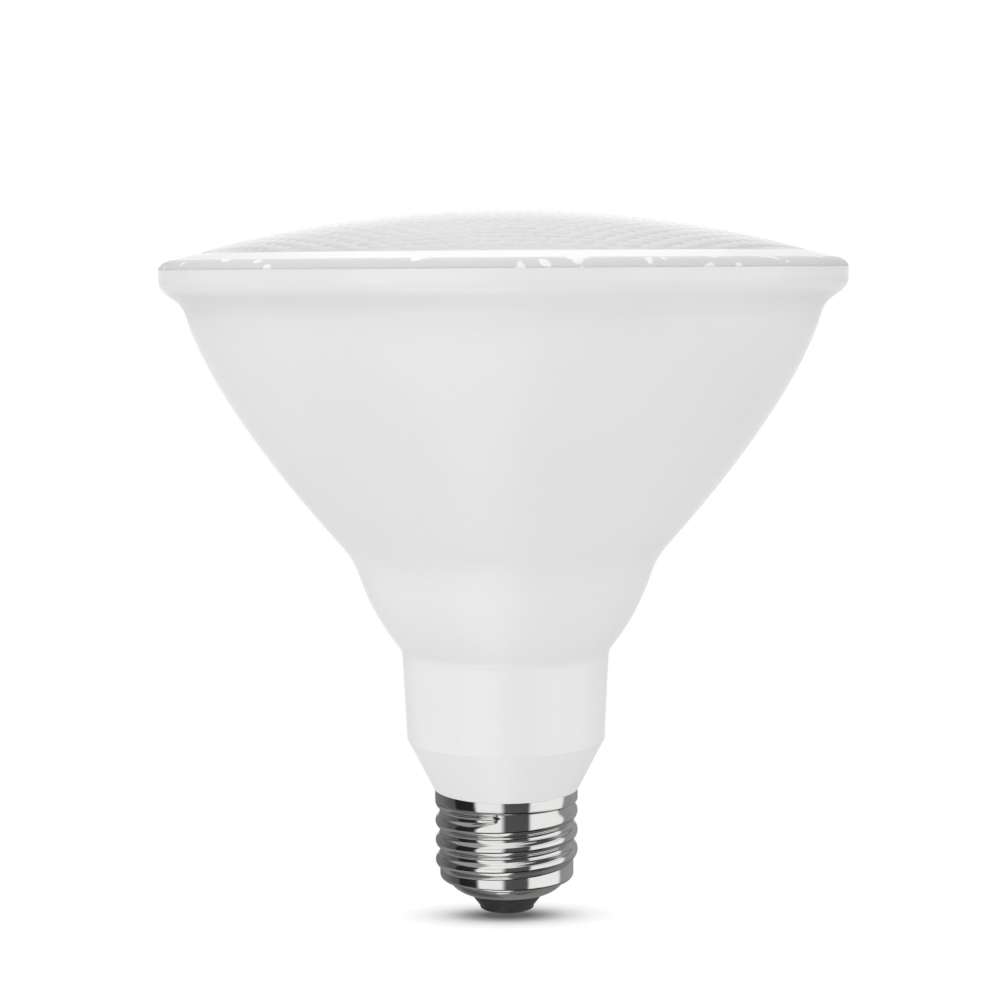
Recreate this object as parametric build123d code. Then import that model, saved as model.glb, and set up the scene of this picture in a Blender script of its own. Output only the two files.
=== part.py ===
from build123d import *
import math
import os

# Reflector spot lamp with a screw base, in millimetres. The lamp points up:
# the origin is the tip of the centre contact and +Z runs along the axis to the lens.

# Screw base, from the contact up
contact_diameter = 8.6
contact_thickness = 0.7
contact_proud = 0.1
contact_edge = 0.2
stem_diameter = 2.4
stem_proud = 0.5
nose_diameter = 9.9
nose_height = 0.4
nose_edge = 0.15
insulator_cone_height = 2.7
insulator_step = 0.05
insulator_cover = 0.2
cap_hole_diameter = 14.3
cap_bowl_height = 2.6
cap_bowl_bow = 0.6
cap_land = 0.1
cap_round = 1.2
barrel_height = 1.6
sheet = 0.3
thread_diameter = 26.05
thread_depth = 0.8
thread_pitch = 3.629
thread_turns = 3.55
thread_phase = 23.0
thread_steps = 8
thread_fade = 0.6
collar_step = 0.02
collar_height = 2.2

# Moulded housing, from the base up
wall = 2.2
spigot_wall = 1.5
spigot_lift = 1.3
shoulder_diameter = 26.4
cone_height = 9.37
neck_diameter = 36.04
neck_top_diameter = 37.6
neck_height = 16.25
bulge_height = 16.9
bulge_swell = 1.04
waist_diameter = 54.56
bell_height = 45.5
bell_foot_angle = 42.0
bell_foot_reach = 0.484
bell_lip_angle = 12.0
bell_lip_reach = 0.264
rim_diameter = 122.0
rim_overhang = 4.25
rim_flare_height = 3.1
rim_band_height = 3.5
rim_wall = 3.2
rim_edge = 0.2
rim_round = 3.0
rim_blend = 4.5
waist_blend = 15.0
neck_blend = 2.6
neck_edge = 0.4

# Lens and its seal
lens_inset = 0.05
lens_thickness = 2.2
flange_thickness = 1.5
flange_edge = 0.1
dome_inset = 2.6
dome_height = 8.6
skirt_wall = 1.6
gasket_width = 1.2
gasket_depth = 1.0

# Light engine
fit = 0.15
ledge_depth = 4.1
reflector_wall = 1.4
reflector_flange = 1.2
reflector_throat = 19.0
reflector_lip = 4.8
sink_wall = 2.0
sink_plate = 3.0
sink_skirt = 13.0
pad_thickness = 0.3
pad_side = 18.0
cob_side = 19.0
cob_thickness = 1.2
phosphor_diameter = 14.6
phosphor_thickness = 0.5
holder_diameter = 44.0
holder_height = 5.0
holder_mouth = 17.6
holder_edge = 1.0
screw_circle = 35.0
screw_diameter = 3.0
screw_head_diameter = 5.6
screw_head_height = 1.8
screw_head_edge = 0.5
screw_land = 2.5

# Driver board
board_thickness = 1.6
tail_margin = 1.275
main_margin = 0.82
head_margin = 3.45
tail_lift = 4.3
tail_height = 11.0
board_flare = 9.0
main_height = 14.0
head_height = 10.0
rib_width = 1.5
rib_bite = 1.5

# Components on the board
bulk_diameter = 10.0
bulk_length = 15.0
bulk_drop = 1.0
bulk_x = -7.2
output_can_diameter = 8.0
output_can_length = 12.0
output_can_x = 5.5
can_groove = 0.5
film_width = 10.0
film_depth = 5.0
film_height = 7.5
inductor_x = 5.6
inductor_lift = 1.5
inductor_width = 10.2
inductor_height = 11.0
core_depth = 4.0
core_leg = 2.4
bobbin_wall = 0.5
choke_diameter = 7.0
choke_height = 8.5
choke_waist = 5.8
choke_flange = 1.3
choke_x = -6.0
fuse_diameter = 2.6
fuse_length = 7.0
fuse_x = -3.0
fuse_lift = 1.5
varistor_diameter = 7.0
varistor_thickness = 3.2
varistor_x = 1.5
varistor_lift = 8.0
disc_edge = 0.6
rectifier_size = (4.8, 2.5, 4.0)
chip_size = (3.9, 1.6, 4.9)
diode_size = (2.6, 2.2, 4.3)
resistor_size = (3.2, 0.6, 1.6)
resistor_count = 4
resistor_gap = 0.6
head_part_lift = 1.5
body_edge = 0.3

# Leads
lead_diameter = 1.4
lead_bend = 3.5
lead_reach = 14.0
lead_hole = 3.2
mains_diameter = 1.2
mains_bend = 1.6

# Levels along the axis
z_nose = contact_proud
z_insulator = z_nose + nose_height
z_cap = z_insulator + insulator_cone_height
z_barrel = z_cap + cap_bowl_height
z_fill = z_barrel + insulator_cover
z_stem = z_fill + stem_proud
z_thread = z_barrel + barrel_height
z_spigot = z_thread + spigot_lift
z_collar = z_thread + thread_turns * thread_pitch
z_shoulder = z_collar + collar_height
z_neck = z_shoulder + cone_height
z_bulge = z_neck + neck_height
z_waist = z_bulge + bulge_height
z_bell = z_waist + bell_height
z_rim = z_bell + rim_flare_height
z_seat = z_rim + rim_band_height
z_ledge = z_seat - ledge_depth
z_mouth = z_ledge + reflector_flange
z_flange = z_seat + flange_thickness
z_crown = z_flange + dome_height
z_pad = z_waist + pad_thickness
z_cob = z_pad + cob_thickness
z_holder = z_waist + holder_height
z_tail = z_spigot + tail_lift
z_flare = z_tail + tail_height
z_main = z_flare + board_flare
z_head = z_main + main_height
z_top = z_head + head_height

# Radii and distances that several pieces share
crest_radius = thread_diameter / 2
root_radius = crest_radius - thread_depth
collar_radius = crest_radius + collar_step
collar_bore = collar_radius - sheet
bore_radius = root_radius - sheet
hole_radius = cap_hole_diameter / 2
spigot_radius = bore_radius - fit
rim_radius = rim_diameter / 2
rim_bore = rim_radius - rim_wall
bell_diameter = rim_diameter - 2 * rim_overhang
reflector_mouth = 2 * (rim_bore - reflector_lip)
skirt_radius = rim_bore - fit
lens_radius = rim_radius - lens_inset
dome_foot = lens_radius - dome_inset
dome_radius = (dome_foot ** 2 + dome_height ** 2) / (2 * dome_height)
tail_width = 2 * (spigot_radius - spigot_wall - tail_margin)
main_width = neck_diameter - 2 * (wall + main_margin)
head_width = neck_top_diameter - 2 * (wall + fit + sink_wall + head_margin)
board_face = board_thickness / 2
part_base = board_face + fit / 2
window_width = inductor_width / 2 - core_leg
window_half = core_leg / 2 + window_width - fit
winding_half_depth = core_depth / 2 + window_width - fit
inductor_y = part_base + winding_half_depth
inductor_low = z_main + inductor_lift
window_low = inductor_low + core_leg / 2
window_high = inductor_low + inductor_height - core_leg / 2


def face_of(*curves):
    """Flat face inside a closed chain of curves drawn as (radius, height)."""
    return make_face([edge for curve in curves for edge in curve.edges()])


def turned(face):
    """Solid of revolution about the lamp's axis."""
    return revolve(Plane.XZ * face, Axis.Z)


def corner_at(face, point):
    """Corner of a face nearest to a point."""
    return face.vertices().sort_by_distance((*point, 0))[0]


def rounded(face, point, radius):
    """The face with the corner at a point rounded."""
    return fillet(corner_at(face, point), radius)


def leaning(angle):
    """Direction in the profile at an angle from the axis."""
    return Vector(math.sin(math.radians(angle)), math.cos(math.radians(angle)))


def block(x, y, z):
    """Box from three (low, high) ranges."""
    size = [high - low for low, high in (x, y, z)]
    return Pos(x[0], y[0], z[0]) * Box(*size, align=(Align.MIN, Align.MIN, Align.MIN))


def square(side, low, high):
    """Square plate centred on the axis."""
    return block((-side / 2, side / 2), (-side / 2, side / 2), (low, high))


def post(radius, low, high, x=0.0, y=0.0):
    """Upright cylinder between two heights."""
    return Pos(x, y, low) * Cylinder(radius, high - low, align=(Align.CENTER, Align.CENTER, Align.MIN))


# Screw base


def thread_section(turn):
    """Circle at one height of the thread, off the axis by the wave of the rolled sheet."""
    share = min(turn / thread_fade, 1)
    swing = thread_depth / 2 * share * share * (3 - 2 * share)
    angle = math.radians(thread_phase + 360 * turn)
    centre = (swing * math.cos(angle), swing * math.sin(angle), z_thread + turn * thread_pitch)
    return Pos(*centre) * Circle(root_radius + swing)


def cap_bottom(inset):
    """Profile of the cap's bowl and round-edged barrel below the thread, drawn in from its outer face."""
    hole = Vector(hole_radius, z_cap)
    crease = Vector(root_radius - cap_round - cap_land, z_barrel)
    slope = (crease - hole).normalized()
    shift = Vector(-slope.Y, slope.X) * inset
    foot = hole + shift
    top = crease + shift
    side = root_radius - inset
    profile = face_of(
        SagittaArc(foot, top, -cap_bowl_bow),
        Polyline(top, (side, top.Y), (side, z_thread), (0, z_thread), (0, foot.Y), foot),
    )
    return rounded(profile, (side, top.Y), cap_round - inset)


def screw_shell():
    """Rolled sheet cap: bowl, barrel, right-hand thread and plain collar."""
    steps = round(thread_turns * thread_steps)
    sections = [thread_section(thread_turns * step / steps) for step in range(steps + 1)]
    shell = loft(sections, ruled=True)
    shell += turned(cap_bottom(0))
    shell += post(collar_radius, z_collar, z_shoulder)
    shell -= turned(cap_bottom(sheet))
    shell -= post(bore_radius, z_thread, z_collar)
    shell -= post(collar_bore, z_collar, z_shoulder)
    return shell - post(hole_radius, z_cap, z_barrel)


def insulator():
    """Moulded plug that fills the cap's bottom and carries the contact in its nose."""
    nose = nose_diameter / 2
    neck = hole_radius - fit / 3
    outside = face_of(
        Polyline(
            (0, z_nose),
            (nose, z_nose),
            (nose, z_insulator),
            (neck - insulator_step, z_cap),
            (neck, z_cap),
            (neck, z_barrel),
            (0, z_barrel),
            close=True,
        )
    )
    outside = rounded(outside, (nose, z_nose), nose_edge)
    plug = cap_bottom(sheet + fit / 3)
    above = Pos(0, (z_fill + z_collar) / 2) * Rectangle(thread_diameter, z_collar - z_fill)
    body = turned(outside + (plug - above))
    body -= post(stem_diameter / 2 + fit / 2, z_nose, z_fill)
    return body - post(contact_diameter / 2 + fit / 2, z_nose, contact_thickness)


def centre_contact():
    """Disc in the insulator's nose with a stem up to the live lead."""
    disc = post(contact_diameter / 2, 0, contact_thickness)
    disc = chamfer(disc.edges().group_by(Axis.Z)[0], contact_edge)
    return disc + post(stem_diameter / 2, contact_thickness, z_stem)


# Housing


def bulge_curve(inset):
    """Convex run from the neck to the waist."""
    low = (neck_top_diameter / 2 - inset, z_bulge)
    high = (waist_diameter / 2 - inset, z_waist)
    return SagittaArc(low, high, -bulge_swell)


def bell_curve(inset):
    """Flared run from the waist to the rim."""
    foot = Vector(waist_diameter / 2 - inset, z_waist)
    lip = Vector(bell_diameter / 2 - inset, z_bell)
    foot_handle = foot + leaning(bell_foot_angle) * (bell_foot_reach * bell_height)
    lip_handle = lip - leaning(bell_lip_angle) * (bell_lip_reach * bell_height)
    return Bezier(foot, foot_handle, lip_handle, lip)


def housing_skin():
    """Outer profile of the housing, closed along the axis."""
    neck = (neck_diameter / 2, z_neck)
    neck_top = (neck_top_diameter / 2, z_bulge)
    waist = (waist_diameter / 2, z_waist)
    bell = (bell_diameter / 2, z_bell)
    rim = (rim_radius, z_rim)
    seat = (rim_radius, z_seat)
    base = Polyline(
        (0, z_spigot),
        (spigot_radius, z_spigot),
        (spigot_radius, z_collar + fit),
        (collar_bore - fit, z_collar + fit),
        (collar_bore - fit, z_shoulder),
        (shoulder_diameter / 2, z_shoulder),
        neck,
        neck_top,
    )
    top = Polyline(bell, rim, seat, (0, z_seat), (0, z_spigot))
    skin = face_of(base, bulge_curve(0), bell_curve(0), top)
    skin = rounded(skin, neck, neck_edge)
    skin = rounded(skin, neck_top, neck_blend)
    skin = rounded(skin, waist, waist_blend)
    skin = rounded(skin, bell, rim_blend)
    skin = rounded(skin, rim, rim_round)
    return chamfer(corner_at(skin, seat), rim_edge)


def housing_cavity():
    """Inner profile of the housing, closed along the axis."""
    bore = spigot_radius - spigot_wall
    lip = bell_diameter / 2 - wall
    base = Polyline(
        (0, z_spigot),
        (bore, z_spigot),
        (bore, z_shoulder),
        (neck_diameter / 2 - wall, z_neck),
        (neck_top_diameter / 2 - wall, z_bulge),
    )
    top = Polyline(
        (lip, z_bell), (lip, z_ledge), (rim_bore, z_ledge), (rim_bore, z_seat), (0, z_seat), (0, z_spigot)
    )
    return face_of(base, bulge_curve(wall), bell_curve(wall), top)


def board_guides():
    """Two slotted ribs inside the neck that hold the driver board by its edges."""
    slot = board_face + fit
    tip = main_width / 2 - rib_bite
    reach = neck_diameter / 2 - wall / 2
    ribs = []
    for side in (-1, 1):
        x = sorted((side * tip, side * reach))
        ribs.append(block(x, (slot, slot + rib_width), (z_main, z_head)))
        ribs.append(block(x, (-slot - rib_width, -slot), (z_main, z_head)))
    return ribs


def gasket_ring(clearance):
    """Square ring halfway across the top of the rim."""
    middle = rim_radius - rim_wall / 2
    half = gasket_width / 2 - clearance
    low = z_seat - gasket_depth
    return post(middle + half, low, z_seat) - post(middle - half, low, z_seat)


def housing():
    """White body moulded in one piece, from the spigot in the cap to the lens seat."""
    body = turned(housing_skin() - housing_cavity())
    body += board_guides()
    return body - gasket_ring(0)


# Lens and light engine


def lens():
    """Clear cover: shallow dome, flange rounded down to the rim and a skirt that holds the reflector down."""
    skirt_bore = skirt_radius - skirt_wall
    skirt_end = z_mouth + fit
    inner_crown = (0, z_crown - lens_thickness)
    rise = math.sqrt(dome_radius ** 2 - skirt_bore ** 2)
    inner_foot = (skirt_bore, z_crown - dome_radius + rise - lens_thickness)
    outline = face_of(
        TangentArc((0, z_crown), (dome_foot, z_flange), tangent=(1, 0)),
        TangentArc((dome_foot, z_flange), (lens_radius, z_seat + flange_edge), tangent=(1, 0)),
        Polyline(
            (lens_radius, z_seat + flange_edge),
            (lens_radius, z_seat),
            (skirt_radius, z_seat),
            (skirt_radius, skirt_end),
            (skirt_bore, skirt_end),
            inner_foot,
        ),
        TangentArc(inner_crown, inner_foot, tangent=(1, 0)),
        Line(inner_crown, (0, z_crown)),
    )
    return turned(outline)


def mirror_curve(offset):
    """Parabola of the reflector between its throat and its mouth."""
    throat = reflector_throat / 2 + offset
    mouth = reflector_mouth / 2 + offset
    low = z_holder + fit
    steepness = (z_mouth - low) / (mouth ** 2 - throat ** 2)
    handle = ((throat + mouth) / 2, low + steepness * throat * (mouth - throat))
    return Bezier((throat, low), handle, (mouth, z_mouth))


def reflector():
    """Parabolic bowl whose flange lies on the housing's ledge under the lens skirt."""
    inner = mirror_curve(0)
    outer = mirror_curve(reflector_wall)
    bowl = face_of(inner, Line(inner @ 0, outer @ 0), outer, Line(inner @ 1, outer @ 1))
    rim_width = skirt_radius - reflector_mouth / 2
    rim_middle = Pos(skirt_radius - rim_width / 2, z_ledge + reflector_flange / 2)
    rim = rim_middle * Rectangle(rim_width, reflector_flange)
    beam = face_of(inner, Polyline(inner @ 0, (0, z_holder), (0, z_seat), inner @ 1))
    return turned(bowl + rim - beam)


def sink_core(inset):
    """Profile of a plug that fills the bulge up to the waist."""
    curve = bulge_curve(inset)
    return face_of(curve, Polyline(curve @ 1, (0, z_waist), (0, z_bulge), curve @ 0))


def heat_sink():
    """Aluminium cup wedged in the bulge, with holes for the holder's screws and the leads."""
    reach = waist_diameter / 2
    under = z_waist - sink_plate
    skirt_end = z_waist - sink_skirt
    plate = Pos(reach / 2, z_waist - sink_plate / 2) * Rectangle(reach, sink_plate)
    below = Pos(reach / 2, (z_bulge + skirt_end) / 2) * Rectangle(reach, skirt_end - z_bulge)
    hollow = sink_core(wall + fit + sink_wall) - plate
    cup = turned(sink_core(wall + fit) - hollow - below)
    for side in (-1, 1):
        cup -= post(screw_diameter / 2 + fit / 3, under, z_waist, x=side * screw_circle / 2)
        cup -= post(lead_hole / 2, under, z_waist, y=side * lead_reach)
    return cup


def cob_holder():
    """Ring that presses the light source on the heat sink under the reflector's throat."""
    ring = post(holder_diameter / 2, z_waist, z_holder)
    ring = chamfer(ring.edges().group_by(Axis.Z)[-1], holder_edge)
    ring -= square(cob_side + 2 * fit, z_waist, z_cob)
    ring -= Pos(0, 0, (z_cob + z_holder) / 2) * Cone(holder_mouth / 2, reflector_throat / 2, z_holder - z_cob)
    slot = lead_hole / 2
    for side in (-1, 1):
        x = side * screw_circle / 2
        ring -= post(screw_diameter / 2 + fit, z_waist, z_holder, x=x)
        ring -= post(screw_head_diameter / 2 + fit, z_waist + screw_land, z_holder, x=x)
        y = sorted((side * cob_side / 3, side * (lead_reach + slot)))
        ring -= block((-slot, slot), y, (z_waist, z_cob + lead_diameter + 2 * fit))
    return ring


def holder_screws():
    """Two round-head screws through the holder into the heat sink."""
    seat = z_waist + screw_land
    top = seat + screw_head_height
    screws = []
    for side in (-1, 1):
        x = side * screw_circle / 2
        head = post(screw_head_diameter / 2, seat, top, x=x)
        head = chamfer(head.edges().group_by(Axis.Z)[-1], screw_head_edge)
        shank = post(screw_diameter / 2, z_waist - sink_plate, seat, x=x)
        recess = post(screw_diameter / 2, seat + screw_head_height / 2, top, x=x)
        screws.append(shank + head - recess)
    return Compound(screws)


# Driver


def driver_board():
    """Upright board that widens from the cap into the neck and narrows in the heat sink."""
    half = [
        (tail_width / 2, z_tail),
        (tail_width / 2, z_flare),
        (main_width / 2, z_main),
        (main_width / 2, z_head),
        (head_width / 2, z_head),
        (head_width / 2, z_top),
    ]
    mirrored = [(-x, z) for x, z in reversed(half)]
    outline = Plane.XZ * face_of(Polyline(*half, *mirrored, close=True))
    return extrude(outline, board_face, both=True)


def can_capacitor(diameter, length, x, side, low):
    """Can lying along the board, with a rolled groove near its plug end."""
    y = side * (part_base + diameter / 2)
    can = post(diameter / 2, low, low + length, x, y)
    can = chamfer(can.edges().filter_by(GeomType.CIRCLE).group_by(Axis.Z)[-1], disc_edge)
    groove = (low + length / 6, low + length / 4)
    return can - (post(diameter / 2, *groove, x, y) - post(diameter / 2 - can_groove, *groove, x, y))


def moulded(size, x, side, low):
    """Moulded component body standing on one face of the board."""
    width, depth, height = size
    y = sorted((side * part_base, side * (part_base + depth)))
    body = block((x - width / 2, x + width / 2), y, (low, low + height))
    return chamfer(body.edges().filter_by(Axis.Y), body_edge)


def window_block(half_width, half_depth, low, high):
    """Upright block centred on the middle leg of the inductor's core."""
    x = (inductor_x - half_width, inductor_x + half_width)
    y = (inductor_y - half_depth, inductor_y + half_depth)
    return block(x, y, (low, high))


def inductor_core():
    """Pair of E cores closed on each other, a frame with a middle leg."""
    half = inductor_width / 2
    depth = core_depth / 2
    frame = window_block(half, depth, inductor_low, inductor_low + inductor_height)
    frame -= window_block(half - core_leg / 2, depth, window_low, window_high)
    return frame + window_block(core_leg / 2, depth, window_low, window_high)


def inductor_bobbin():
    """Moulded former on the middle leg, with a flange at each end of the winding."""
    width = core_leg / 2 + fit
    depth = core_depth / 2 + fit
    low = window_low + fit
    high = window_high - fit
    former = window_block(window_half, winding_half_depth, low, high)
    former -= window_block(window_half, winding_half_depth, low + bobbin_wall, high - bobbin_wall)
    former += window_block(width + bobbin_wall, depth + bobbin_wall, low, high)
    return former - window_block(width, depth, low, high)


def inductor_winding():
    """Copper wound on the former between its flanges."""
    inset = 2 * fit + bobbin_wall
    low = window_low + inset
    high = window_high - inset
    coil = window_block(window_half - fit, winding_half_depth - fit, low, high)
    coil = chamfer(coil.edges().filter_by(Axis.Z), body_edge)
    return coil - window_block(core_leg / 2 + inset, core_depth / 2 + inset, low, high)


def noise_choke():
    """Drum core standing on the back of the board."""
    low = part_base
    high = part_base + choke_height
    spool = post(choke_waist / 2, low, high)
    spool += post(choke_diameter / 2, low, low + choke_flange)
    spool += post(choke_diameter / 2, high - choke_flange, high)
    return Pos(choke_x, 0, (z_main + z_head) / 2) * Rot(90, 0, 0) * spool


def fuse_resistor():
    """Axial body lying along the board's tail."""
    low = z_tail + fuse_lift
    body = post(fuse_diameter / 2, low, low + fuse_length, fuse_x, part_base + fuse_diameter / 2)
    return chamfer(body.edges().filter_by(GeomType.CIRCLE), disc_edge)


def varistor():
    """Coated disc flat against the back of the board's tail."""
    disc = post(varistor_diameter / 2, part_base, part_base + varistor_thickness)
    disc = chamfer(disc.edges().filter_by(GeomType.CIRCLE), disc_edge)
    return Pos(varistor_x, 0, z_tail + varistor_lift) * Rot(90, 0, 0) * disc


def chip_resistors():
    """Column of chip resistors on the front of the board's head."""
    pitch = resistor_size[2] + resistor_gap
    width, depth, height = resistor_size
    x = (head_width / 4 - width / 2, head_width / 4 + width / 2)
    y = (part_base, part_base + depth)
    low = z_head + head_part_lift
    return Compound([block(x, y, (low + i * pitch, low + i * pitch + height)) for i in range(resistor_count)])


# Leads


def lead(diameter, bend, *points):
    """Round wire along straight runs joined by bends."""
    route = FilletPolyline(*points, radius=bend)
    section = Plane(route @ 0, z_dir=route % 0) * Circle(diameter / 2)
    return sweep(section, path=route)


def output_lead(side):
    """Lead from the driver board through the heat sink to the light source."""
    level = z_cob + lead_diameter / 2 + fit / 2
    start = z_top - head_height / 3
    return lead(
        lead_diameter,
        lead_bend,
        (0, side * part_base, start),
        (0, side * lead_reach, start),
        (0, side * lead_reach, level),
        (0, side * holder_mouth / 2, level),
    )


def lead_live():
    """Lead from the driver board to the stem of the centre contact."""
    x = tail_width / 6
    y = part_base + mains_diameter / 2
    return lead(
        mains_diameter,
        mains_bend,
        (x, y, z_tail + tail_height / 3),
        (x, y, z_tail - mains_diameter),
        (0, 0, z_tail - 2 * mains_bend),
        (0, 0, z_stem),
    )


def lead_neutral():
    """Lead from the driver board to the inside of the screw shell below the spigot."""
    start = Vector(-tail_width / 4, -part_base - mains_diameter / 2)
    end = start.normalized() * (bore_radius - fit)
    level = Vector(0, 0, (z_fill + z_spigot) / 2)
    return lead(
        mains_diameter,
        2 * mains_bend,
        start + Vector(0, 0, z_tail + tail_height / 3),
        start + level,
        end + level,
    )


nodes = {
    "housing": housing(),
    "lens": lens(),
    "lens_gasket": gasket_ring(fit / 3),
    "reflector": reflector(),
    "heat_sink": heat_sink(),
    "thermal_pad": square(pad_side, z_waist, z_pad),
    "cob_board": square(cob_side, z_pad, z_cob),
    "cob_phosphor": post(phosphor_diameter / 2, z_cob, z_cob + phosphor_thickness),
    "cob_holder": cob_holder(),
    "holder_screws": holder_screws(),
    "driver_board": driver_board(),
    "bulk_capacitor": can_capacitor(bulk_diameter, bulk_length, bulk_x, 1, z_main - bulk_drop),
    "output_capacitor": can_capacitor(output_can_diameter, output_can_length, output_can_x, -1, z_main),
    "film_capacitor": moulded((film_width, film_depth, film_height), 0, 1, z_flare),
    "inductor_core": inductor_core(),
    "inductor_bobbin": inductor_bobbin(),
    "inductor_winding": inductor_winding(),
    "noise_choke": noise_choke(),
    "fuse_resistor": fuse_resistor(),
    "varistor": varistor(),
    "bridge_rectifier": moulded(rectifier_size, -head_width / 4, 1, z_head + head_part_lift),
    "driver_chip": moulded(chip_size, head_width / 4, -1, z_head + head_part_lift),
    "output_diode": moulded(diode_size, -head_width / 4, -1, z_head + head_part_lift),
    "chip_resistors": chip_resistors(),
    "lead_positive": output_lead(1),
    "lead_negative": output_lead(-1),
    "lead_live": lead_live(),
    "lead_neutral": lead_neutral(),
    "screw_shell": screw_shell(),
    "insulator": insulator(),
    "centre_contact": centre_contact(),
}

os.makedirs("parts", exist_ok=True)
for name, solid in nodes.items():
    export_step(solid, f"parts/{name}.step")
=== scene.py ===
import math
import bpy
from mathutils import Matrix, Vector


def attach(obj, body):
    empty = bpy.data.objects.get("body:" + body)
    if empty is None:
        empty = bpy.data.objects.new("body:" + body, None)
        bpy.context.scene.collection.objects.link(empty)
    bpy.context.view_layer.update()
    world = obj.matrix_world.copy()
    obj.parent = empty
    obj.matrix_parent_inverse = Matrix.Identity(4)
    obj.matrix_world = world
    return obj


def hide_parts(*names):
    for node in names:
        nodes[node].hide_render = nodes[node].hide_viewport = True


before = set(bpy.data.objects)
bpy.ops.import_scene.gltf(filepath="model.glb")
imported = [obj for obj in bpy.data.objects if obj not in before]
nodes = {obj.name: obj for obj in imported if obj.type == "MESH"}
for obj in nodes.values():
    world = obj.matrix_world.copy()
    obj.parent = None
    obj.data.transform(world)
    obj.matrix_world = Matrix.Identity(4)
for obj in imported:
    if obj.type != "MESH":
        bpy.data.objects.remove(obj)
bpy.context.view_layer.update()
MM = 0.001

# Screw shell, millimetres and degrees; a point outside shell_skin lies on the outer face
shell_hole = 7.15
shell_root = 12.225
shell_sheet = 0.3
shell_bore = shell_root - shell_sheet
shell_skin = shell_root - shell_sheet / 2
hole_height = 3.2
crease_radius = 10.925
crease_height = 5.8
bowl_bow = 0.6
barrel_round = 0.75
shell_segments = 192
shell_crisp = 40

# Thread of the shell, with its rise and its fade in turns
thread_start = 7.4
thread_lead = 0.1
thread_depth = 0.8
thread_pitch = 3.629
thread_turns = 3.55
thread_phase = 3.0
thread_rise = 0.05
thread_fade = 0.3
thread_steps = 48
crest_part = 0.6
turn_slack = 0.001

# Collar of the shell
collar_low = thread_start + thread_turns * thread_pitch
collar_band = 2.2
collar_high = collar_low + collar_band
collar_radius = 13.045
collar_shoulder = 0.3
collar_step = 0.03
collar_low_round = 0.2
collar_top_round = 0.1
inner_step = 0.04

# Lanced mark under the collar, its lift as a share of its depth, and the end of the last groove beside it
notch_azimuth = -97.5
notch_drop = 0.55
notch_half_angle = 2.0
notch_half_height = 0.2
notch_border = 0.06
notch_depth = 0.35
notch_lift = 0.3
run_out = 2.0
flank_run_out = 24.0
flank_part = 0.4
run_in = 45.0

# Lens, millimetres and degrees
crown = 127.203
dome_foot = 58.35
flange_top = 118.603
flange_low = 117.103
flange_radius = 60.95
flange_edge = 0.1
weld_bead = 0.12
bead_width = 0.2
skirt_radius = 57.65
skirt_bore = 56.05
skirt_low = 114.353
lens_wall = 2.2
dome_radius = (dome_foot ** 2 + (crown - flange_top) ** 2) / (2 * (crown - flange_top))
lens_segments = 192
lens_crisp = 28

# Pattern of the lens and the lip that closes its edge
pillow_pitch = 3.6
pillow_rise = 0.28
pillow_rings = (0.66, 0.33)
pattern_radius = 54.3
pattern_margin = 0.2
sheet_lift = 1.0
cell_gap = 0.02
lip_width = 0.1
lip_drop = 0.05
margin_inset = 0.4
margin_rings = 6
inner_rings = 24

# Points closer than this are merged
seam_gap = 0.002


# Modelling helpers


def settle(piece):
    """Make one object the only selected and active one."""
    bpy.ops.object.select_all(action="DESELECT")
    piece.select_set(True)
    bpy.context.view_layer.objects.active = piece


def edit(piece, kind="VERT"):
    """Open one object in edit mode with nothing selected."""
    settle(piece)
    bpy.ops.object.mode_set(mode="EDIT")
    bpy.ops.mesh.select_mode(type=kind)
    bpy.ops.mesh.select_all(action="DESELECT")


def leave():
    """Go back to object mode."""
    bpy.ops.object.mode_set(mode="OBJECT")


def choose_faces(piece, wanted):
    """Select the faces whose centre, in millimetres, passes a test."""
    leave()
    for face in piece.data.polygons:
        face.select = bool(wanted(face.center / MM))
    bpy.ops.object.mode_set(mode="EDIT")
    bpy.ops.mesh.select_mode(type="FACE")


def sealed(piece, crisp):
    """Merge seams, point faces outwards and smooth all but the crisp edges."""
    settle(piece)
    bpy.ops.object.mode_set(mode="EDIT")
    bpy.ops.mesh.select_all(action="SELECT")
    bpy.ops.mesh.remove_doubles(threshold=seam_gap * MM)
    bpy.ops.mesh.normals_make_consistent(inside=False)
    leave()
    bpy.ops.object.shade_smooth_by_angle(angle=math.radians(crisp))


def apply_modifier(piece, kind, **settings):
    """Add a modifier with its settings and apply it."""
    settle(piece)
    modifier = piece.modifiers.new(kind.lower(), kind)
    for key, value in settings.items():
        setattr(modifier, key, value)
    bpy.ops.object.modifier_apply(modifier=modifier.name)


def clamp(value):
    """Value held between 0 and 1."""
    return min(max(value, 0), 1)


def eased(share):
    """Share that starts and ends gently."""
    return share * share * (3 - 2 * share)


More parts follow.
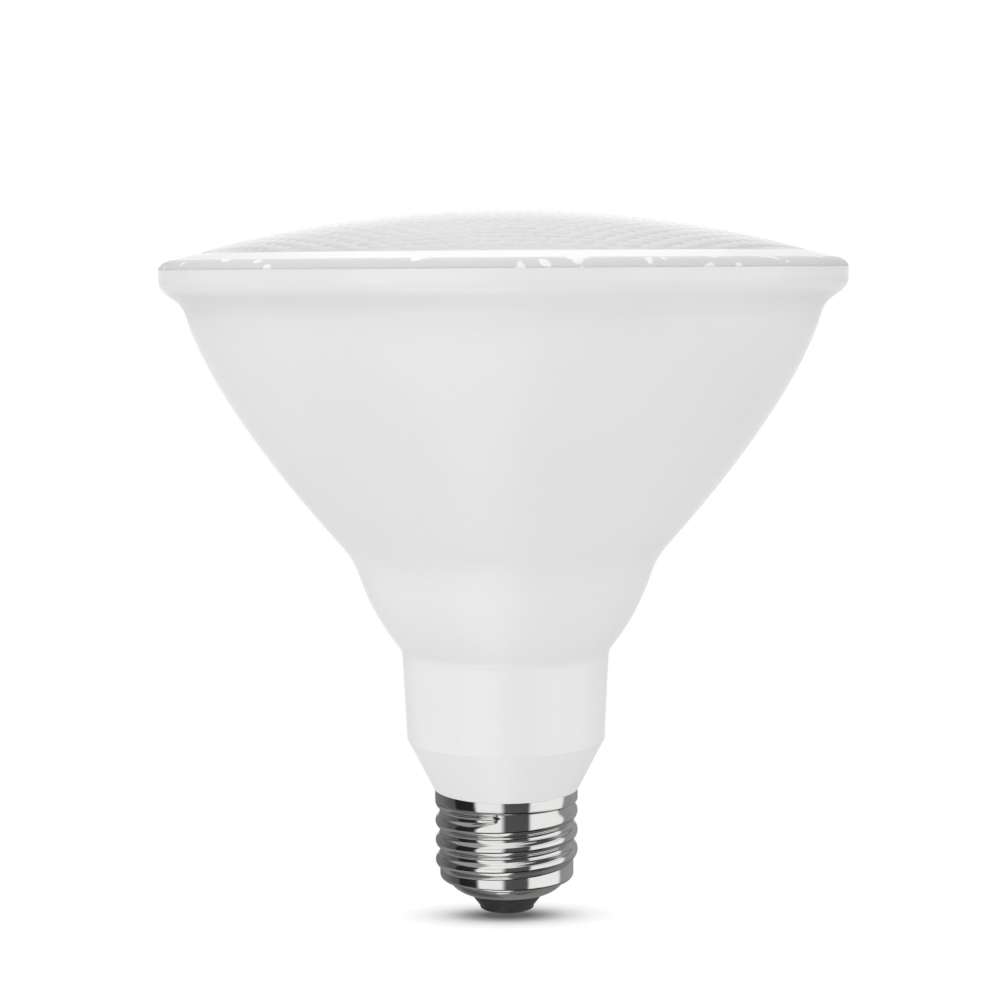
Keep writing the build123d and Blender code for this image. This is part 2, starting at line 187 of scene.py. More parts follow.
class Turning:
    """Round piece grown ring by ring, in millimetres."""

    def __init__(self, name, radius, height, segments):
        bpy.ops.object.select_all(action="DESELECT")
        place = (0, 0, height * MM)
        bpy.ops.mesh.primitive_circle_add(vertices=segments, radius=radius * MM, location=place)
        self.piece = bpy.context.active_object
        self.piece.name = name
        self.piece.data.name = name
        bpy.ops.object.transform_apply(location=True, rotation=True, scale=True)
        bpy.ops.object.mode_set(mode="EDIT")
        bpy.ops.mesh.select_mode(type="EDGE")
        bpy.ops.mesh.select_all(action="SELECT")
        self.radius, self.height, self.x, self.y = radius, height, 0.0, 0.0

    def to(self, radius, height, x=0.0, y=0.0):
        """Grow the next ring."""
        step = Vector((x - self.x, y - self.y, height - self.height)) * MM
        bpy.ops.mesh.extrude_edges_move(TRANSFORM_OT_translate={"value": step})
        factor = radius / self.radius
        centre = Vector((x, y, height)) * MM
        bpy.ops.transform.resize(value=(factor, factor, 1), center_override=centre)
        self.radius, self.height, self.x, self.y = radius, height, x, y

    def along(self, points):
        """Grow one ring for each point of a profile."""
        for radius, height in points:
            self.to(radius, height)

    def end(self):
        """Close edit mode and hand over the object."""
        leave()
        return self.piece


def arc(centre_radius, centre_height, radius, start, stop, steps):
    """Points on a rounded edge of a profile, with angles from the outward direction."""
    turns = [math.radians(start + (stop - start) * i / steps) for i in range(steps + 1)]
    return [(centre_radius + radius * math.cos(a), centre_height + radius * math.sin(a)) for a in turns]


# Screw shell: rolled sheet with a helical thread


def thread_swing(turn):
    """Half the height of the thread's wave, which fades in along its first part turn."""
    return thread_depth / 2 * eased(clamp((turn - thread_rise) / thread_fade))


def thread_ring(turn):
    """Radius, height and centre of the ring at one turn of the thread."""
    swing = thread_swing(turn)
    angle = math.radians(thread_phase + 360 * turn)
    height = thread_start + turn * thread_pitch
    return shell_root + swing, height, swing * math.cos(angle), swing * math.sin(angle)


def crest_share(wave):
    """Height of the thread at one phase of its wave, from 0 in the groove to 1 on the crest.

    Its section is two arcs that meet, a round crest and a round groove.
    """
    half = thread_pitch / 2
    flank = 2 * math.atan(thread_depth / half)
    crest_round = crest_part * half / math.sin(flank)
    groove_round = (1 - crest_part) * half / math.sin(flank)
    reach = abs(wave) / math.pi * half
    if reach < crest_part * half:
        return 1 - (crest_round - math.sqrt(crest_round ** 2 - reach ** 2)) / thread_depth
    return (groove_round - math.sqrt(groove_round ** 2 - (half - reach) ** 2)) / thread_depth


def groove_fill(wave, past_end):
    """Share by which the last groove is filled, at an angle in degrees past its end.

    It ends abruptly at its floor and runs out slowly on its lower flank, next to the crest.
    """
    above_crest = clamp(-wave / math.pi)
    flank = clamp((1 - above_crest) / flank_part) if above_crest else 0
    stop_length = run_out + (flank_run_out - run_out) * eased(flank)
    return clamp(1 + past_end / stop_length) * clamp(2 - past_end / run_in)


def roll_crests(piece):
    """Give the thread its section of two arcs and let the last groove end at the lanced mark."""
    last_end = math.radians(notch_azimuth) + 2 * math.pi * round(thread_turns)
    for vertex in piece.data.vertices:
        spot = vertex.co / MM
        turn = (spot.z - thread_start) / thread_pitch
        if 0 < turn < thread_turns + turn_slack and spot.xy.length > shell_skin:
            around = math.atan2(spot.y, spot.x)
            crest_line = math.radians(thread_phase + 360 * turn)
            wave = math.remainder(around - crest_line, 2 * math.pi)
            height = 2 * thread_swing(turn + wave / (2 * math.pi))
            radius = shell_root + height * crest_share(wave)
            groove_angle = crest_line + wave + (2 * math.pi if wave < 0 else 0)
            past_end = math.degrees(groove_angle - last_end)
            radius += groove_fill(wave, past_end) * (shell_root + height - radius)
            vertex.co.xy = spot.xy.normalized() * radius * MM


def bowl_line(lift, steps):
    """Points of the bowl from the hole to the crease, bowed outwards."""
    reach = crease_radius - shell_hole
    rise = crease_height - hole_height
    chord = math.hypot(reach, rise)
    points = []
    for i in range(steps + 1):
        share = i / steps
        bow = 4 * bowl_bow * share * (1 - share) / chord
        radius = shell_hole + reach * share + rise * bow
        points.append((radius, hole_height + rise * share - reach * bow + lift))
    return points


def make_shell():
    """Sheet shell, from the hole up its outside to the collar and back down its inside."""
    barrel_low = (shell_root - barrel_round, crease_height + barrel_round)
    collar_foot = (collar_radius - collar_low_round, collar_low + collar_step + collar_low_round)
    collar_top = (collar_radius - collar_top_round, collar_high - collar_top_round)
    collar_bore = collar_radius - shell_sheet
    rings = round(thread_turns * thread_steps)
    shell = Turning("rolled_screw_shell", shell_hole, hole_height + shell_sheet, shell_segments)
    shell.along(bowl_line(0, steps=12))
    shell.along(arc(*barrel_low, barrel_round, -90, 0, steps=8))
    shell.to(shell_root, thread_start - thread_lead)
    for i in range(rings + 1):
        shell.to(*thread_ring(thread_turns * i / rings))
    shell.to(collar_radius - collar_shoulder, collar_low + collar_step)
    shell.along(arc(*collar_foot, collar_low_round, -90, 0, steps=4))
    shell.along(arc(*collar_top, collar_top_round, 0, 90, steps=3))
    shell.to(collar_bore, collar_high)
    shell.to(collar_bore, collar_low + shell_sheet)
    shell.to(shell_bore, collar_low + shell_sheet - inner_step)
    shell.to(shell_bore, barrel_low[1])
    shell.along(arc(*barrel_low, barrel_round - shell_sheet, 0, -90, steps=5)[1:])
    shell.along(reversed(bowl_line(shell_sheet, steps=6)))
    piece = shell.end()
    roll_crests(piece)
    sealed(piece, shell_crisp)
    return piece


def stamp_notch(piece):
    """Press the small lanced mark in under the collar and give its pit the piece's second material, a
    near-black painted shadow.
    """
    def marked(centre):
        around = math.degrees(math.atan2(centre.y, centre.x))
        drop = collar_low - centre.z
        beside = abs(around - notch_azimuth) < notch_half_angle
        return beside and abs(drop - notch_drop) < notch_half_height and centre.xy.length > shell_skin

    edit(piece, "FACE")
    choose_faces(piece, marked)
    bpy.ops.mesh.inset(thickness=notch_border * MM, depth=0)
    around = math.radians(notch_azimuth)
    inwards = Vector((-math.cos(around), -math.sin(around), notch_lift))
    bpy.ops.transform.translate(value=inwards * notch_depth * MM)
    # The pit's faces take the painted shadow
    piece.active_material_index = 1
    bpy.ops.object.material_slot_assign()
    leave()
    bpy.ops.object.shade_smooth_by_angle(angle=math.radians(shell_crisp))


# Lens: clear dome with a honeycomb of pillows, a plain margin, a flange and a skirt


def dome_height(radius, drop=0.0):
    """Height of the dome at a radius, or of a face that lies below it."""
    return crown - dome_radius + math.sqrt(dome_radius ** 2 - radius ** 2) - drop


def honeycomb():
    """Flat sheet of hexagonal cells, cut to the patterned circle."""
    corner = pillow_pitch / math.sqrt(3)
    row_pair = pillow_pitch * math.sqrt(3)
    columns = 2 * math.ceil(pattern_radius / pillow_pitch) + 1
    pairs = 2 * math.ceil(pattern_radius / row_pair) + 1
    left = -(columns // 2) * pillow_pitch
    front = -(pairs // 2) * row_pair
    place = (left * MM, front * MM, (crown + sheet_lift) * MM)
    bpy.ops.object.select_all(action="DESELECT")
    bpy.ops.mesh.primitive_circle_add(vertices=6, radius=corner * MM, fill_type="NGON", location=place)
    sheet = bpy.context.active_object
    sheet.name = "patterned_lens"
    sheet.data.name = "patterned_lens"
    bpy.ops.object.transform_apply(location=True, rotation=True, scale=True)
    repeats = (
        (columns, pillow_pitch, 0),
        (2, pillow_pitch / 2, row_pair / 2),
        (pairs, 0, row_pair),
    )
    for count, across, back in repeats:
        apply_modifier(
            sheet,
            "ARRAY",
            count=count,
            use_relative_offset=False,
            use_constant_offset=True,
            constant_offset_displace=(across * MM, back * MM, 0),
            use_merge_vertices=True,
            use_merge_vertices_cap=False,
            merge_threshold=cell_gap * MM,
        )
    edit(sheet, "FACE")
    bpy.ops.mesh.select_all(action="SELECT")
    bpy.ops.mesh.remove_doubles(threshold=cell_gap * MM)
    last_cell = pattern_radius - pillow_pitch / 2 - pattern_margin
    choose_faces(sheet, lambda centre: centre.xy.length > last_cell)
    bpy.ops.mesh.delete(type="FACE")
    leave()
    return sheet


def raise_pillows(sheet):
    """Lift each cell of the sheet into a shallow dome."""
    half = pillow_pitch / 2
    cap = (half ** 2 + pillow_rise ** 2) / (2 * pillow_rise)
    edit(sheet, "FACE")
    bpy.ops.mesh.select_all(action="SELECT")
    reach = half
    level = 0.0
    for share in pillow_rings:
        inner = half * share
        height = math.sqrt(cap ** 2 - inner ** 2) - cap + pillow_rise
        bpy.ops.mesh.inset(thickness=(reach - inner) * MM, depth=(height - level) * MM, use_individual=True)
        reach = inner
        level = height
    bpy.ops.mesh.poke(offset=(pillow_rise - level) * MM)
    leave()


def lens_body():
    """Margin, flange, weld bead, skirt and inner face, from the pattern's edge to the inner crown."""
    body = Turning("lens_body", pattern_radius, dome_height(pattern_radius, pillow_rise), lens_segments)
    body.to(pattern_radius + lip_width, dome_height(pattern_radius + lip_width, lip_drop))
    margin_start = pattern_radius + margin_inset
    for i in range(1, margin_rings + 1):
        radius = margin_start + (dome_foot - margin_start) * i / margin_rings
        body.to(radius, dome_height(radius))
    reach = flange_radius - dome_foot
    drop = flange_top - flange_low - flange_edge
    rounding = (reach ** 2 + drop ** 2) / (2 * drop)
    edge_angle = math.degrees(math.acos(reach / rounding))
    body.along(arc(dome_foot, flange_top - rounding, rounding, 90, edge_angle, steps=8)[1:])
    body.to(flange_radius, flange_low - weld_bead)
    body.to(flange_radius - bead_width, flange_low)
    body.to(skirt_radius, flange_low)
    body.to(skirt_radius, skirt_low)
    body.to(skirt_bore, skirt_low)
    for i in range(inner_rings):
        radius = skirt_bore * (1 - i / inner_rings)
        body.to(radius, dome_height(radius, lens_wall))
    bpy.ops.mesh.merge(type="CENTER")
    bpy.ops.transform.translate(value=(0, 0, (crown - lens_wall - body.height) * MM))
    return body.end()


def make_lens():
    """Sheet of cells laid on the dome, raised into pillows and joined to the body of the lens."""
    sheet = honeycomb()
    apply_modifier(
        sheet,
        "SHRINKWRAP",
        target=nodes["lens"],
        wrap_method="PROJECT",
        use_project_z=True,
        use_positive_direction=False,
        use_negative_direction=True,
    )
    edit(sheet)
    bpy.ops.mesh.select_all(action="SELECT")
    bpy.ops.transform.translate(value=(0, 0, -pillow_rise * MM))
    leave()
    body = lens_body()
    raise_pillows(sheet)
    settle(sheet)
    body.select_set(True)
    bpy.ops.object.join()
    edit(sheet, "EDGE")
    bpy.ops.mesh.select_non_manifold(
        extend=False,
        use_wire=False,
        use_boundary=True,
        use_multi_face=False,
        use_non_contiguous=False,
        use_verts=False,
    )
    bpy.ops.mesh.bridge_edge_loops()
    leave()
    sealed(sheet, lens_crisp)
    return sheet


# Shader helpers


def add(tree, kind, inputs=None, **settings):
    """Add a node with its settings and its input values or links."""
    made = tree.nodes.new(kind)
    for key, value in settings.items():
        setattr(made, key, value)
    for key, value in (inputs or {}).items():
        if isinstance(value, bpy.types.NodeSocket):
            tree.links.new(value, made.inputs[key])
        else:
            made.inputs[key].default_value = value
    return made


def group(name, inputs, outputs):
    """New shader group with its named sockets and its end nodes."""
    tree = bpy.data.node_groups.new(name, "ShaderNodeTree")
    for key in inputs:
        tree.interface.new_socket(key, in_out="INPUT", socket_type="NodeSocketFloat")
    for key in outputs:
        tree.interface.new_socket(key, in_out="OUTPUT", socket_type="NodeSocketFloat")
    return tree, add(tree, "NodeGroupInput"), add(tree, "NodeGroupOutput")


def grey(level):
    """Neutral colour of one level."""
    return level, level, level, 1


def ranged(tree, value, low, high, start=0.0, stop=1.0):
    """Value carried from one range to another and held at its ends."""
    limits = {"From Min": low, "From Max": high, "To Min": start, "To Max": stop}
    return add(tree, "ShaderNodeMapRange", {"Value": value, **limits}).outputs[0]


def worked(tree, operation, first, second):
    """Result of one operation on two values."""
    return add(tree, "ShaderNodeMath", {0: first, 1: second}, operation=operation).outputs[0]


def between(tree, share, first, second):
    """Value between two values."""
    return add(tree, "ShaderNodeMix", {"Factor": share, "A": first, "B": second}).outputs["Result"]


def toned(tree, share, first, second, way="MIX"):
    """Colour between two colours, or their product."""
    ends = {"Factor": share, "A": first, "B": second}
    return add(tree, "ShaderNodeMix", ends, data_type="RGBA", blend_type=way).outputs["Result"]


def noise(tree, place, scale, detail):
    """Soft noise over the surface."""
    made = add(tree, "ShaderNodeTexNoise", {"Vector": place, "Scale": scale, "Detail": detail})
    return made.outputs["Fac"]


def stretched(tree, place, scale):
    """Coordinates drawn out by a scale for each axis."""
    return add(tree, "ShaderNodeMapping", {"Vector": place, "Scale": scale}).outputs[0]


# Finishes


tone_low = 0.12
tone_high = 0.4
relief_strength = 0.3


def texture_group(name, stretch, fine_detail, slow_detail):
    """Fine relief, drawn out by a stretch, and a slow drift of tone."""
    tree, start, end = group(name, ["Relief Scale", "Drift Scale"], ["Height", "Tone"])
    place = add(tree, "ShaderNodeTexCoord").outputs["Object"]
    fine = noise(tree, stretched(tree, place, stretch), start.outputs["Relief Scale"], fine_detail)
    slow = noise(tree, place, start.outputs["Drift Scale"], slow_detail)
    tone = ranged(tree, worked(tree, "MULTIPLY", fine, slow), tone_low, tone_high)
    tree.links.new(fine, end.inputs["Height"])
    tree.links.new(tone, end.inputs["Tone"])
    return tree


moulded_grain = texture_group("moulded_grain", stretch=(1, 1, 1), fine_detail=3.0, slow_detail=2.0)
turned_lines = texture_group("turned_lines", stretch=(0.02, 0.02, 1), fine_detail=2.0, slow_detail=3.0)


def finish(name, dark, light, rough, texture=moulded_grain, scale=2500, drift=60, depth=0.01, sockets=None):
    """Material whose tone, roughness and relief follow a texture, with a depth in millimetres."""
    material = bpy.data.materials.new(name)
    material.use_nodes = True
    tree = material.node_tree
    surface = tree.nodes["Principled BSDF"]
    for key, value in (sockets or {}).items():
        surface.inputs[key].default_value = value
    skin = add(tree, "ShaderNodeGroup", {"Relief Scale": scale, "Drift Scale": drift}, node_tree=texture)
    tone = skin.outputs["Tone"]
    bump = {"Height": skin.outputs["Height"], "Strength": relief_strength, "Distance": depth * MM}
    tree.links.new(toned(tree, tone, (*dark, 1), (*light, 1)), surface.inputs["Base Color"])
    tree.links.new(ranged(tree, tone, 0, 1, *rough), surface.inputs["Roughness"])
    tree.links.new(add(tree, "ShaderNodeBump", bump).outputs[0], surface.inputs["Normal"])
    return material


def clothe(piece, material):
    """Give a piece one finish."""
    piece.data.materials.clear()
    piece.data.materials.append(material)


# Zones of the lens by radius, its tones and its roughness, with its painted glints and its painted edge
# reflection
margin_zone = (pattern_radius - 0.2, pattern_radius + 0.3)
flange_zone = (dome_foot - 0.1, dome_foot + 0.2)
margin_and_painted_edge_tone = grey(0.97)
margin_rough = 0.08
flange_tone = grey(0.74)
flange_rough = 0.55
# Painted glints: near-white noise spots on the grey flange, standing in for highlights in the clear flange
painted_glint_tone = grey(0.98)
painted_glint_stretch = (300, 300, 420)
painted_glint_detail = 0.8
painted_glint_range = (0.65, 0.67)
# Painted reflection: the dome's colour goes towards the white margin tone where it is seen edge-on
painted_reflection_range = (0.87, 0.97)


def edge_on_painted_reflection(tree, place):
    """Mask of a painted reflection that whitens the clear dome where it is seen edge-on, taken from its
    smooth form without pillows.
    """
    centre = (0, 0, (crown - dome_radius) * MM)
    spoke = add(tree, "ShaderNodeVectorMath", {0: place, 1: centre}, operation="SUBTRACT").outputs[0]
    smooth = add(tree, "ShaderNodeVectorMath", {0: spoke}, operation="NORMALIZE").outputs[0]
    edge_on = add(tree, "ShaderNodeLayerWeight", {"Normal": smooth}).outputs["Facing"]
    return ranged(tree, edge_on, *painted_reflection_range)


def lens_finish(name):
    """Frosted on the pattern, polished on the plain margin, whitened edge-on by a painted reflection, with
    painted glints on the flange.
    """
    material = finish(
        name,
        (0.66, 0.665, 0.665),
        (0.72, 0.725, 0.725),
        (0.2, 0.27),
        scale=900,
        drift=50,
        depth=0.004,
        sockets={"Transmission Weight": 0.12, "IOR": 1.5},
    )
    tree = material.node_tree
    surface = tree.nodes["Principled BSDF"]
    tone = surface.inputs["Base Color"].links[0].from_socket
    rough = surface.inputs["Roughness"].links[0].from_socket
    place = add(tree, "ShaderNodeTexCoord").outputs["Object"]
    flat = stretched(tree, place, (1 / MM, 1 / MM, 0))
    reach = add(tree, "ShaderNodeVectorMath", {0: flat}, operation="LENGTH").outputs["Value"]
    margin = ranged(tree, reach, *margin_zone)
    flange = ranged(tree, reach, *flange_zone)
    drawn = stretched(tree, place, painted_glint_stretch)
    painted_glint = ranged(tree, noise(tree, drawn, 1.0, painted_glint_detail), *painted_glint_range)
    pattern = toned(tree, edge_on_painted_reflection(tree, place), tone, margin_and_painted_edge_tone)
    dome = toned(tree, margin, pattern, margin_and_painted_edge_tone)
    edge = toned(tree, painted_glint, flange_tone, painted_glint_tone)
    polish = between(tree, margin, rough, margin_rough)
    tree.links.new(toned(tree, flange, dome, edge), surface.inputs["Base Color"])
    tree.links.new(between(tree, flange, polish, flange_rough), surface.inputs["Roughness"])
    return material


metal = {"Metallic": 1.0}
satin = {"Sheen Weight": 1.0, "Sheen Roughness": 0.35}

clear_lens = lens_finish("clear_lens")
white_housing = finish(
    "white_housing",
    (0.855, 0.855, 0.85),
    (0.885, 0.885, 0.88),
    (0.2, 0.27),
    scale=2600,
    drift=30,
    depth=0.003,
    sockets=satin,
)
seal = finish("seal", (0.62, 0.62, 0.61), (0.78, 0.78, 0.77), (0.5, 0.65), scale=600, drift=150, depth=0.05)
mirror_coat = finish(
    "mirror_coat",
    (0.86, 0.87, 0.88),
    (0.93, 0.93, 0.93),
    (0.05, 0.12),
    scale=400,
    drift=90,
    depth=0.02,
    sockets=metal,
)
sink_aluminium = finish(
    "sink_aluminium",
    (0.66, 0.67, 0.68),
    (0.8, 0.81, 0.82),
    (0.32, 0.45),
    texture=turned_lines,
    sockets=metal,
)
thermal_pad = finish(
    "thermal_pad",
    (0.5, 0.52, 0.57),
    (0.62, 0.64, 0.68),
    (0.6, 0.75),
    scale=1500,
    depth=0.04,
)
cob_aluminium = finish(
    "cob_aluminium",
    (0.72, 0.72, 0.73),
    (0.86, 0.86, 0.86),
    (0.2, 0.32),
    scale=1200,
    sockets=metal,
)
phosphor = finish("phosphor", (0.78, 0.52, 0.06), (0.9, 0.66, 0.12), (0.3, 0.42), scale=1600, depth=0.03)
holder_plastic = finish(
    "holder_plastic",
    (0.78, 0.78, 0.76),
    (0.86, 0.86, 0.84),
    (0.42, 0.55),
    scale=2200,
    depth=0.03,
)
screw_steel = finish(
    "screw_steel",
    (0.5, 0.5, 0.5),
    (0.66, 0.66, 0.65),
    (0.22, 0.34),
    texture=turned_lines,
    sockets=metal,
)
board_laminate = finish(
    "board_laminate",
    (0.03, 0.16, 0.07),
    (0.06, 0.24, 0.11),
    (0.28, 0.4),
    scale=700,
    depth=0.02,
)
can_sleeve = finish("can_sleeve", (0.02, 0.02, 0.028), (0.05, 0.05, 0.065), (0.22, 0.34), scale=900)
film_case = finish("film_case", (0.62, 0.42, 0.05), (0.74, 0.53, 0.08), (0.3, 0.42), scale=1500)
ferrite = finish("ferrite", (0.05, 0.05, 0.052), (0.1, 0.1, 0.1), (0.5, 0.7), scale=1300, depth=0.05)
component_black = finish(
    "component_black",
    (0.02, 0.02, 0.02),
    (0.05, 0.05, 0.05),
    (0.42, 0.56),
    scale=2200,
    depth=0.03,
)
copper_wire = finish(
    "copper_wire",
    (0.5, 0.2, 0.07),
    (0.76, 0.36, 0.15),
    (0.22, 0.36),
    texture=turned_lines,
    scale=4200,
    depth=0.15,
    sockets=metal,
)
resistor_coat = finish("resistor_coat", (0.14, 0.3, 0.26), (0.24, 0.42, 0.36), (0.4, 0.55), scale=1800)
varistor_coat = finish("varistor_coat", (0.03, 0.09, 0.36), (0.07, 0.16, 0.48), (0.25, 0.38), scale=1100)
lead_red = finish("lead_red", (0.4, 0.02, 0.016), (0.52, 0.04, 0.03), (0.38, 0.5), scale=2000)
lead_black = finish("lead_black", (0.012, 0.012, 0.012), (0.03, 0.03, 0.03), (0.38, 0.5), scale=2000)
shell_metal = finish(
    "shell_metal",
    (0.80, 0.795, 0.785),
    (0.88, 0.875, 0.865),
    (0.06, 0.12),
    texture=turned_lines,
    scale=5200,
    drift=140,
    depth=0.004,
    sockets=metal,
)
# Near-black painted shadow for the pit of the lanced mark, standing in for the dark inside of the hole
lance_shadow = finish(
    "lance_shadow",
    (0.004, 0.004, 0.004),
    (0.012, 0.012, 0.012),
    (0.7, 0.85),
    scale=1500,
)
insulator_black = finish(
    "insulator_black",
    (0.012, 0.012, 0.012),
    (0.028, 0.028, 0.028),
    (0.3, 0.42),
    scale=1600,
    depth=0.02,
)
contact_metal = finish(
    "contact_metal",
    (0.55, 0.55, 0.54),
    (0.7, 0.7, 0.69),
    (0.2, 0.32),
    texture=turned_lines,
    sockets=metal,
)

finishes = {
    "housing": white_housing,
    "lens": clear_lens,
    "lens_gasket": seal,
    "reflector": mirror_coat,
    "heat_sink": sink_aluminium,
    "thermal_pad": thermal_pad,
    "cob_board": cob_aluminium,
    "cob_phosphor": phosphor,
    "cob_holder": holder_plastic,
    "holder_screws": screw_steel,
    "driver_board": board_laminate,
    "bulk_capacitor": can_sleeve,
    "output_capacitor": can_sleeve,
    "film_capacitor": film_case,
    "inductor_core": ferrite,
    "inductor_bobbin": component_black,
    "inductor_winding": copper_wire,
    "noise_choke": ferrite,
    "fuse_resistor": resistor_coat,
    "varistor": varistor_coat,
    "bridge_rectifier": component_black,
    "driver_chip": component_black,
    "output_diode": component_black,
    "chip_resistors": component_black,
    "lead_positive": lead_red,
    "lead_negative": lead_black,
    "lead_live": lead_red,
    "lead_neutral": lead_black,
    "screw_shell": shell_metal,
    "insulator": insulator_black,
    "centre_contact": contact_metal,
}
for name, material in finishes.items():
    clothe(nodes[name], material)

shell = make_shell()
clothe(shell, shell_metal)
shell.data.materials.append(lance_shadow)
stamp_notch(shell)
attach(shell, "root")
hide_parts("screw_shell")

cover = make_lens()
clothe(cover, clear_lens)
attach(cover, "root")
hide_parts("lens")


# Studio: white sweep, striped soft boxes in the reflections, floor with a contact shadow

# Grey levels by azimuth, in degrees: 0 lies in front of the object and 90 on its right
striped_boxes = (
    (-180, 0.2), (-142, 0.18), (-122, 0.15), (-104, 0.095), (-93, 0.09), (-88, 0.015), (-54, 0.02),
    (-48, 0.95), (-10, 0.95), (-2, 0.09), (35, 0.08), (40, 0.95), (100, 0.95), (107, 0.29),
    (142, 0.33), (180, 0.25),
)
ceiling = (
    (-180, 0.35), (-58, 0.33), (-48, 0.95), (-20, 0.95), (12, 0.8), (25, 0.45), (40, 0.06),
    (95, 0.07), (108, 0.34), (180, 0.35),
)
table_edge = (
    (-180, 0.22), (-58, 0.28), (-48, 0.01), (64, 0.01), (72, 0.13), (100, 0.13), (110, 0.2), (180, 0.22),
)
ground = (
    (-180, 0.22), (-150, 0.12), (-123, 0.07), (-100, 0.15), (-58, 0.28), (-48, 0.95), (6, 0.95),
    (16, 0.1), (60, 0.09), (95, 0.09), (110, 0.2), (180, 0.22),
)
sweep_sides = ((-180, 1.0), (-172, 1.0), (-160, 0.0), (160, 0.0), (172, 1.0), (180, 1.0))
tent_sides = (
    (-180, 0.9), (-90, 1.0), (-50, 0.985), (0, 0.865), (25, 0.77), (100, 0.84), (180, 0.9),
)

# Grey levels by the height of a direction: -1 is straight down and 1 straight up
horizon_line = ((-1, 1.0), (0.26, 1.0), (0.32, 0.66), (0.4, 0.66), (0.46, 1.0), (1, 1.0))
tent_band = ((-1, 0.08), (0.22, 0.08), (0.32, 1.0), (0.7, 1.0), (0.8, 0.15), (1, 0.15))

# Heights where each zone of the reflected room starts and where it is full
room_zones = ((ceiling, 0.5, 0.58), (table_edge, -0.36, -0.4), (ground, -0.6, -0.66))
beneath = (-0.98, -0.992)
beneath_tone = grey(0.2)
sweep_foot = (-0.2, -0.08)
sweep_tone = grey(0.95)
white = grey(1.0)
tent_strength = 1.74

# Floor: its size in metres, all else in millimetres, with shadow levels by shares of its half axes
floor_size = 6.0
floor_gap = 0.05
floor_strength = 0.96
shadow_half_width = 20.0
shadow_half_depth = 9.0
shadow_forward = 5.3
shadow_levels = ((0, 0.1), (0.2, 0.13), (0.35, 0.32), (0.57, 0.7), (0.75, 0.88), (0.95, 0.975), (1, 1.0))
shadow_distance = 50.0
shadow_samples = 16
shadow_range = (0.95, 0.7)

# Soft boxes, metres and watts, and the height in millimetres that they face
box_size = 0.5
key_place = (-0.33, -0.70, 0.84)
key_power = 0.8
top_place = (0.0, 0.0, 1.1)
top_power = 2.6
faced_height = 60.0

# Camera, millimetres and degrees
camera_place = (-0.83, -398.0, 117.1)
camera_pitch = 6.003
camera_roll = -0.36
camera_focal = 79.75
camera_sensor = 36.0
camera_near = 10.0


def graded(tree, share, levels, low, high):
    """Grey level on a ramp with places between a low and a high end."""
    ramp = add(tree, "ShaderNodeValToRGB", {"Fac": share})
    stops = ramp.color_ramp.elements
    for i, (place, level) in enumerate(levels):
        position = (place - low) / (high - low)
        stop = stops[i] if i < 2 else stops.new(position)
        stop.position = position
        stop.color = grey(level)
    return ramp.outputs["Color"]


def by_azimuth(tree, turn, levels):
    """Grey level by azimuth."""
    return graded(tree, turn, levels, -180, 180)


def by_height(tree, rise, levels):
    """Grey level by the height of a direction."""
    return graded(tree, rise, levels, -1, 1)


def mirrored_room(tree, turn, rise, height):
    """What polished faces show: soft boxes, ceiling, table edge, ground and the white sweep behind."""
    shown = by_azimuth(tree, turn, striped_boxes)
    for levels, start, full in room_zones:
        shown = toned(tree, ranged(tree, height, start, full), shown, by_azimuth(tree, turn, levels))
    shown = toned(tree, ranged(tree, height, *beneath), shown, beneath_tone)
    shown = toned(tree, 1.0, shown, by_height(tree, rise, horizon_line), "MULTIPLY")
    sides = by_azimuth(tree, turn, sweep_sides)
    sweep = worked(tree, "MULTIPLY", sides, ranged(tree, height, *sweep_foot))
    return toned(tree, sweep, shown, sweep_tone)


def soft_tent(tree, turn, rise):
    """What lights matt faces: a bright band round the object, a little darker in front and on the right."""
    band = by_height(tree, rise, tent_band)
    return toned(tree, 1.0, band, by_azimuth(tree, turn, tent_sides), "MULTIPLY")


def seen_rays(tree, rays):
    """Mask of the rays that show the studio to the camera, directly or through the clear lens."""
    return worked(tree, "MAXIMUM", rays["Is Camera Ray"], rays["Is Transmission Ray"])


def make_world():
    """White to the camera, a striped room in reflections and a soft tent for all other light."""
    world = bpy.data.worlds.new("studio")
    bpy.context.scene.world = world
    world.use_nodes = True
    tree = world.node_tree
    tree.nodes.clear()
    way = add(tree, "ShaderNodeTexCoord").outputs["Generated"]
    parts = add(tree, "ShaderNodeSeparateXYZ", {0: way}).outputs
    front = worked(tree, "MULTIPLY", parts["Y"], -1.0)
    turn = ranged(tree, worked(tree, "ARCTAN2", parts["X"], front), -math.pi, math.pi)
    rise = ranged(tree, parts["Z"], -1.0, 1.0)
    room = mirrored_room(tree, turn, rise, parts["Z"])
    tent = soft_tent(tree, turn, rise)
    rays = add(tree, "ShaderNodeLightPath").outputs
    soft = add(tree, "ShaderNodeBackground", {"Color": tent, "Strength": tent_strength}).outputs[0]
    mirror = add(tree, "ShaderNodeBackground", {"Color": room, "Strength": 1.0}).outputs[0]
    plain = add(tree, "ShaderNodeBackground", {"Color": white, "Strength": 1.0}).outputs[0]
    lit = add(tree, "ShaderNodeMixShader", {"Fac": rays["Is Glossy Ray"], 1: soft, 2: mirror}).outputs[0]
    shown = add(tree, "ShaderNodeMixShader", {"Fac": seen_rays(tree, rays), 1: lit, 2: plain}).outputs[0]
    add(tree, "ShaderNodeOutputWorld", {"Surface": shown})


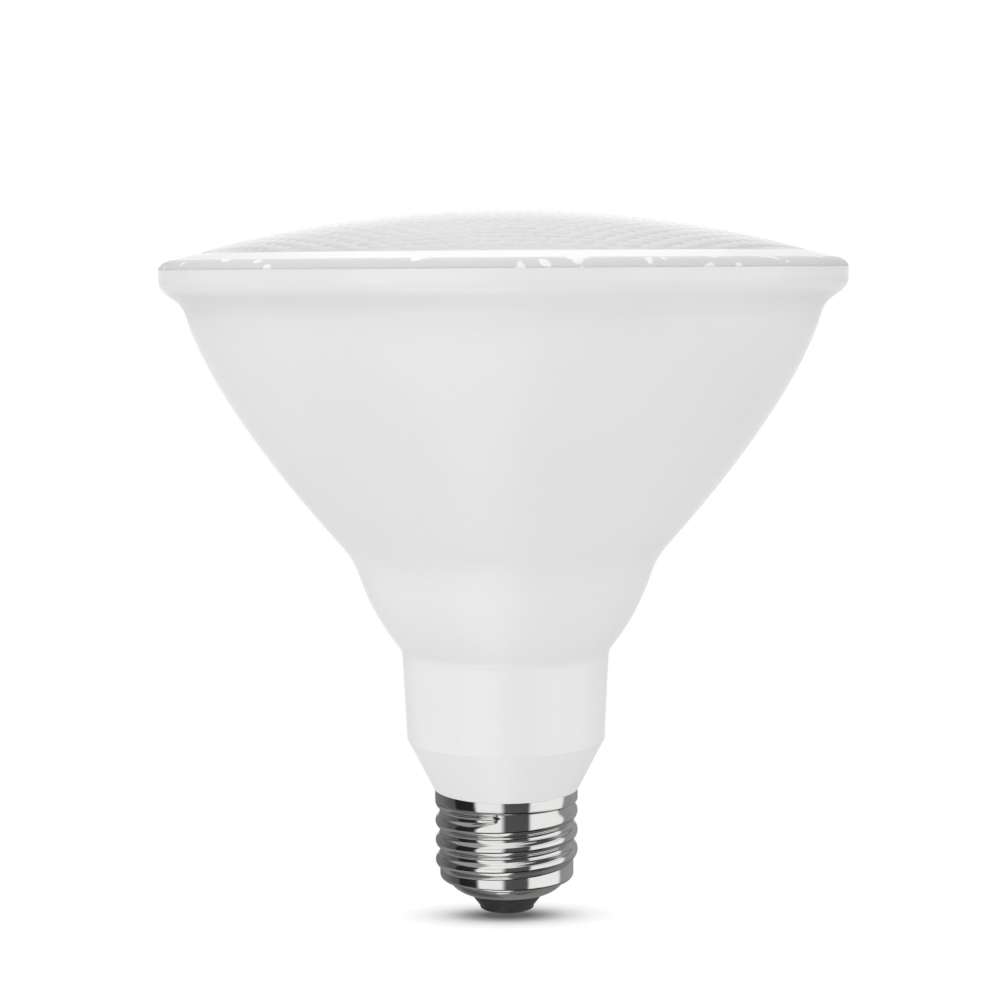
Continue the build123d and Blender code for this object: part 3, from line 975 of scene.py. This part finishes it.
def floor_finish():
    """White floor with a soft oval shadow where the object stands."""
    material = bpy.data.materials.new("white_floor")
    material.use_nodes = True
    tree = material.node_tree
    tree.nodes.clear()
    rays = add(tree, "ShaderNodeLightPath").outputs
    place = add(tree, "ShaderNodeTexCoord").outputs["Object"]
    oval = {
        "Vector": place,
        "Location": (0, shadow_forward / shadow_half_depth, 0),
        "Scale": (1 / (shadow_half_width * MM), 1 / (shadow_half_depth * MM), 0),
    }
    middle = add(tree, "ShaderNodeMapping", oval).outputs[0]
    apart = add(tree, "ShaderNodeVectorMath", {0: middle}, operation="LENGTH").outputs["Value"]
    shade = graded(tree, apart, shadow_levels, 0, 1)
    reach = {"Distance": shadow_distance * MM}
    open_sky = add(tree, "ShaderNodeAmbientOcclusion", reach, samples=shadow_samples).outputs["AO"]
    shadow = toned(tree, ranged(tree, open_sky, *shadow_range), white, shade)
    shown = add(tree, "ShaderNodeEmission", {"Color": shadow, "Strength": 1.0}).outputs[0]
    plain = add(tree, "ShaderNodeEmission", {"Color": white, "Strength": floor_strength}).outputs[0]
    both = add(tree, "ShaderNodeMixShader", {"Fac": seen_rays(tree, rays), 1: plain, 2: shown}).outputs[0]
    add(tree, "ShaderNodeOutputMaterial", {"Surface": both})
    return material


def make_floor():
    """Plain pale floor, just under the object."""
    bpy.ops.object.select_all(action="DESELECT")
    bpy.ops.mesh.primitive_plane_add(size=floor_size, location=(0, 0, -floor_gap * MM))
    floor = bpy.context.active_object
    floor.name = "floor"
    clothe(floor, floor_finish())
    floor.visible_glossy = False


def make_soft_box(name, place, power):
    """Square light that faces the middle of the object."""
    bpy.ops.object.select_all(action="DESELECT")
    bpy.ops.object.light_add(type="AREA", location=place)
    box = bpy.context.active_object
    box.name = name
    box.data.size = box_size
    box.data.energy = power
    towards = Vector((0, 0, faced_height * MM)) - Vector(place)
    box.rotation_euler = towards.to_track_quat("-Z", "Y").to_euler()
    box.visible_glossy = False


def make_camera():
    """Camera at the photograph's place and angle."""
    data = bpy.data.cameras.new("camera")
    camera = bpy.data.objects.new("camera", data)
    bpy.context.scene.collection.objects.link(camera)
    data.sensor_width = camera_sensor
    data.lens = camera_focal
    data.clip_start = camera_near * MM
    tilt = Matrix.Rotation(math.radians(90 - camera_pitch), 4, "X")
    roll = Matrix.Rotation(math.radians(camera_roll), 4, "Z")
    camera.matrix_world = Matrix.Translation(Vector(camera_place) * MM) @ tilt @ roll
    bpy.context.scene.camera = camera


make_world()
make_floor()
make_soft_box("key_soft_box", key_place, key_power)
make_soft_box("top_soft_box", top_place, top_power)
make_camera()
bpy.context.scene.view_settings.view_transform = "Standard"
